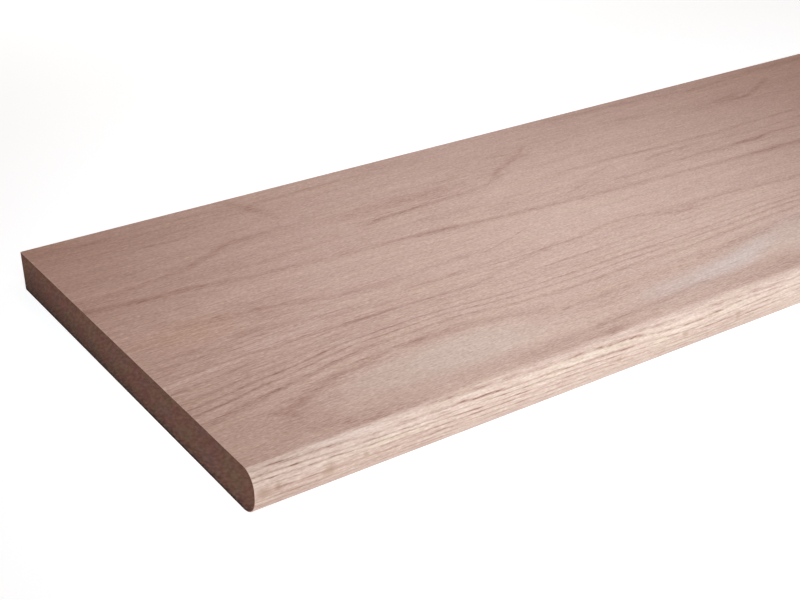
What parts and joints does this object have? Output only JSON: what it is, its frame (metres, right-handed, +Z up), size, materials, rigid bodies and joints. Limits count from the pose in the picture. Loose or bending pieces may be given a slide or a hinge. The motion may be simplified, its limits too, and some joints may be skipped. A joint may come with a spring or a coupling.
{
  "type": "stair tread",
  "caption": "Solid red oak stair tread with square-sawn ends, a flat underside and a rounded nosing along its front edge.",
  "frame": {"origin": "middle of the underside, the face that rests on the risers and stringers", "axes": "+X along the tread's length, to the right for someone who climbs the stair; -Y out of the rounded nosing, +Y out of the rear edge; +Z up, out of the face that is walked on"},
  "size_m": [0.9144, 0.2922, 0.0254],
  "materials": {
    "red_oak": "bare, planed and sanded"
  },
  "bodies": {
    "root": {"tread": "red_oak"}
  },
  "joints": []
}
